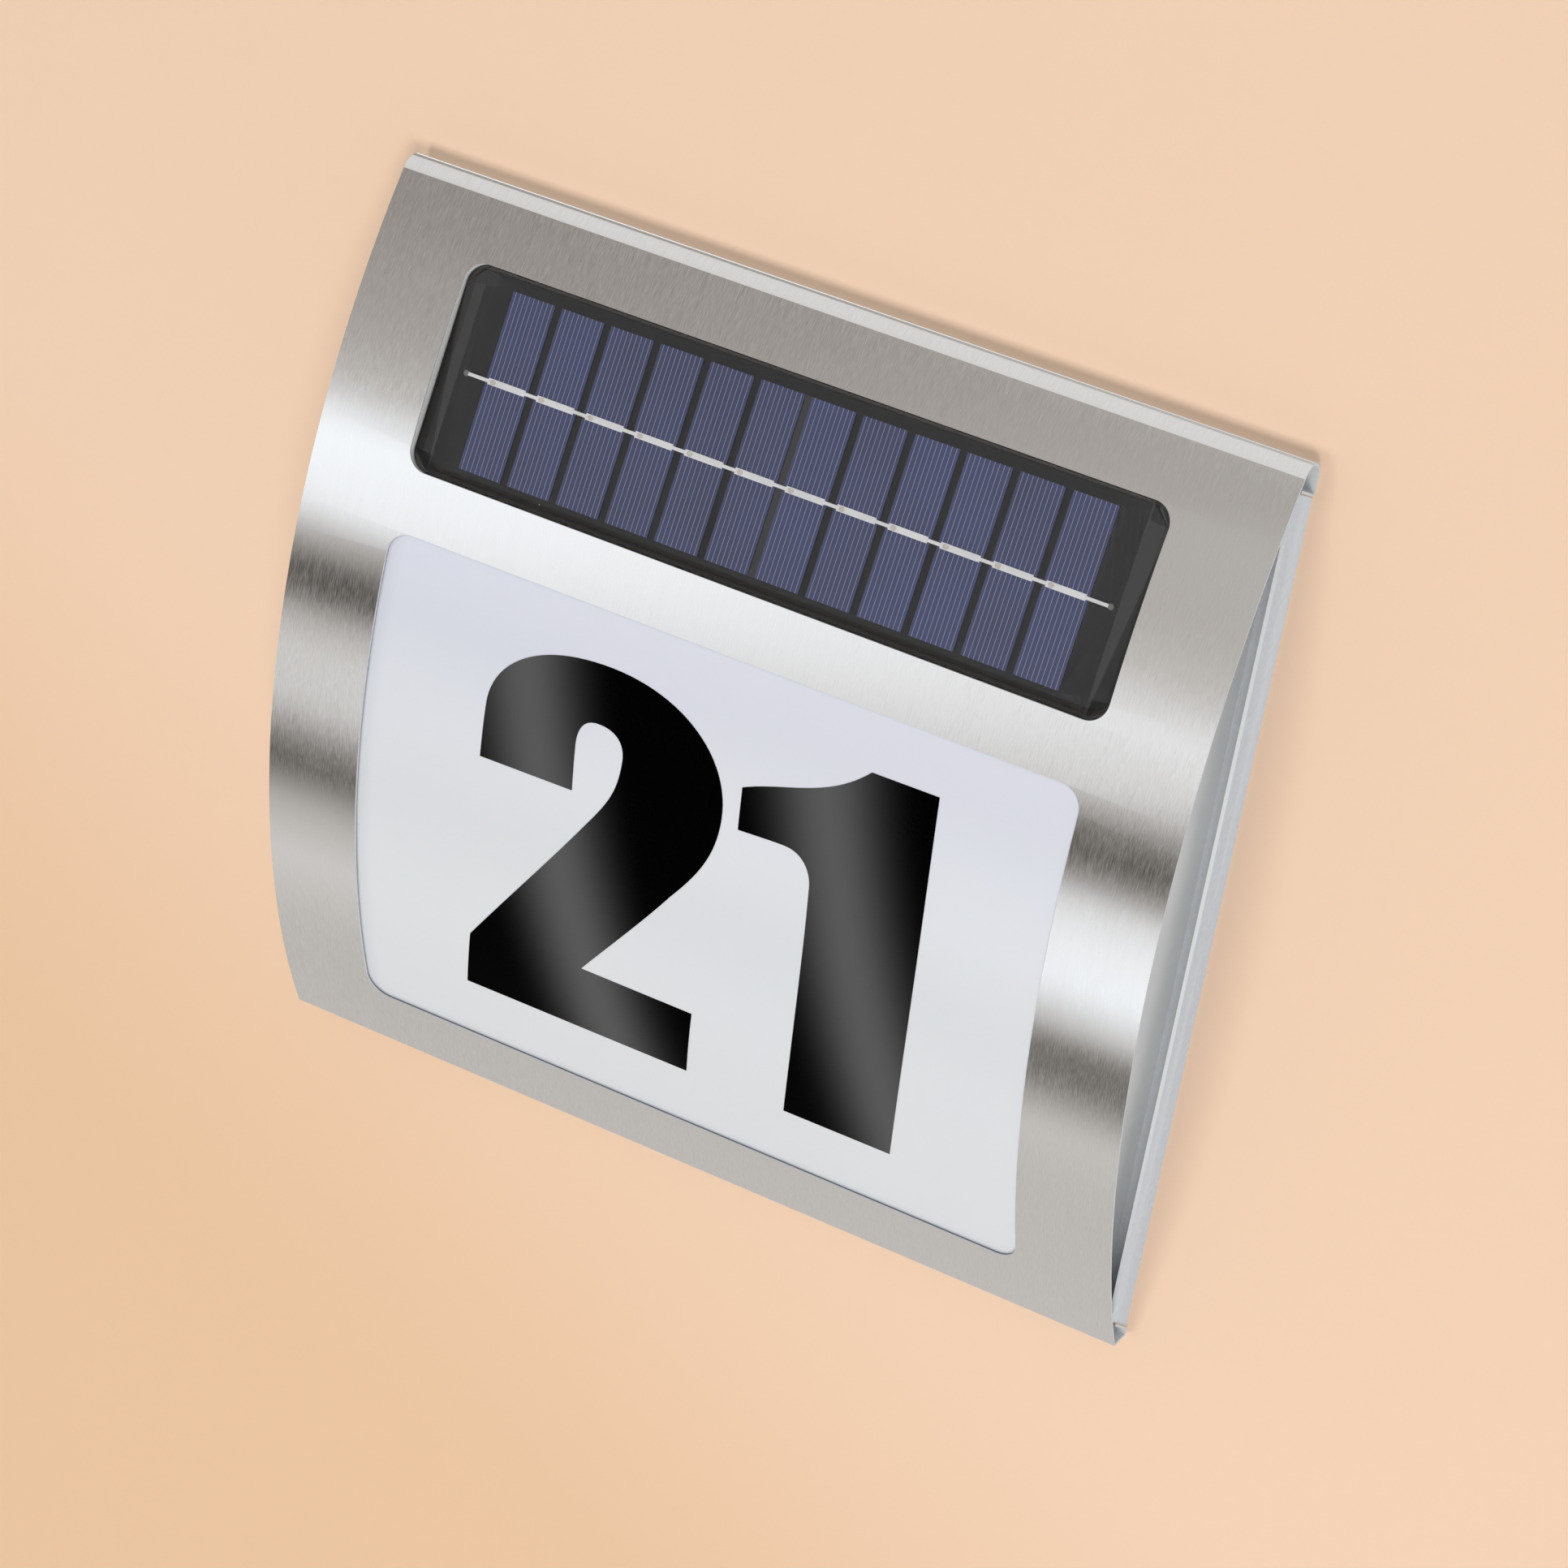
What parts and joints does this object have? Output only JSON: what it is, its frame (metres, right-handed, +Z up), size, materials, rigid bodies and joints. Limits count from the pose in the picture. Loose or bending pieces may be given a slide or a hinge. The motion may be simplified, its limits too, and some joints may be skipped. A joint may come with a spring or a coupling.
{
  "type": "illuminated house number sign",
  "caption": "Solar house number sign: bowed brushed steel front folded over a steel back plate, opal lit window for the number below a sloping solar panel, battery door and switch at the back.",
  "frame": {"origin": "centre of the back face, in the plane of the wall, at the height where the bowed front stands out furthest", "axes": "+X right along the wall as the number is read, +Y into the wall, +Z up"},
  "size_m": [0.2, 0.0338, 0.1975],
  "materials": {
    "cover_steel": "brushed vertically",
    "plate_steel": "satin",
    "housing_plastic": "fine moulded texture",
    "opal_acrylic": "smooth satin opal",
    "white_sheet": "matt white",
    "panel_black": "matt",
    "cell_silicon": "dark blue with fine lines",
    "tinned_copper": "tinned",
    "clear_resin": "clear gloss",
    "seal_rubber": "matt foam",
    "cell_sleeve": "shrink sleeve",
    "contact_metal": "nickel plated",
    "screw_steel": "bright",
    "board_green": "solder mask",
    "ferrite": "matt",
    "capacitor_can": "satin",
    "chip_black": "matt moulded",
    "lamp_lens": "clear lens over a pale yellow chip",
    "lead_insulation": "smooth insulation"
  },
  "bodies": {
    "base": {"back_plate": "plate_steel", "lamp_housing": "housing_plastic", "number_window": "opal_acrylic", "reflector_sheet": "white_sheet", "panel_board": "panel_black", "solar_cells": "cell_silicon", "cell_ribbon": "tinned_copper", "panel_resin": "clear_resin", "panel_seal": "seal_rubber", "battery": "cell_sleeve", "positive_contact": "contact_metal", "negative_contact": "contact_metal", "battery_spring": "contact_metal", "control_board": "board_green", "board_screws": "screw_steel", "storage_coil": "ferrite", "capacitor": "capacitor_can", "driver_chip": "chip_black", "diodes": "chip_black", "switch_body": "contact_metal", "lamp_board": "white_sheet", "lamps": "lamp_lens", "housing_screws": "screw_steel", "lamp_leads": "lead_insulation", "panel_leads": "lead_insulation", "cell_leads": "lead_insulation"},
    "cover": {"front_cover": "cover_steel", "cover_screws": "screw_steel"},
    "door": {"battery_door": "housing_plastic", "door_screws": "screw_steel", "door_seal": "seal_rubber"},
    "switch": {"switch_knob": "chip_black"}
  },
  "joints": [
    {"name": "switch_slide", "type": "slide", "parent": "base", "child": "switch", "axis": [1, 0, 0], "range_m": [0, 0.003]},
    {"name": "battery_door_removal", "type": "slide", "parent": "base", "child": "door", "axis": [0, 1, 0], "range_m": [0, 0.012]},
    {"name": "cover_removal", "type": "slide", "parent": "base", "child": "cover", "axis": [0, -0.9272, 0.3746], "range_m": [0, 0.045]}
  ]
}
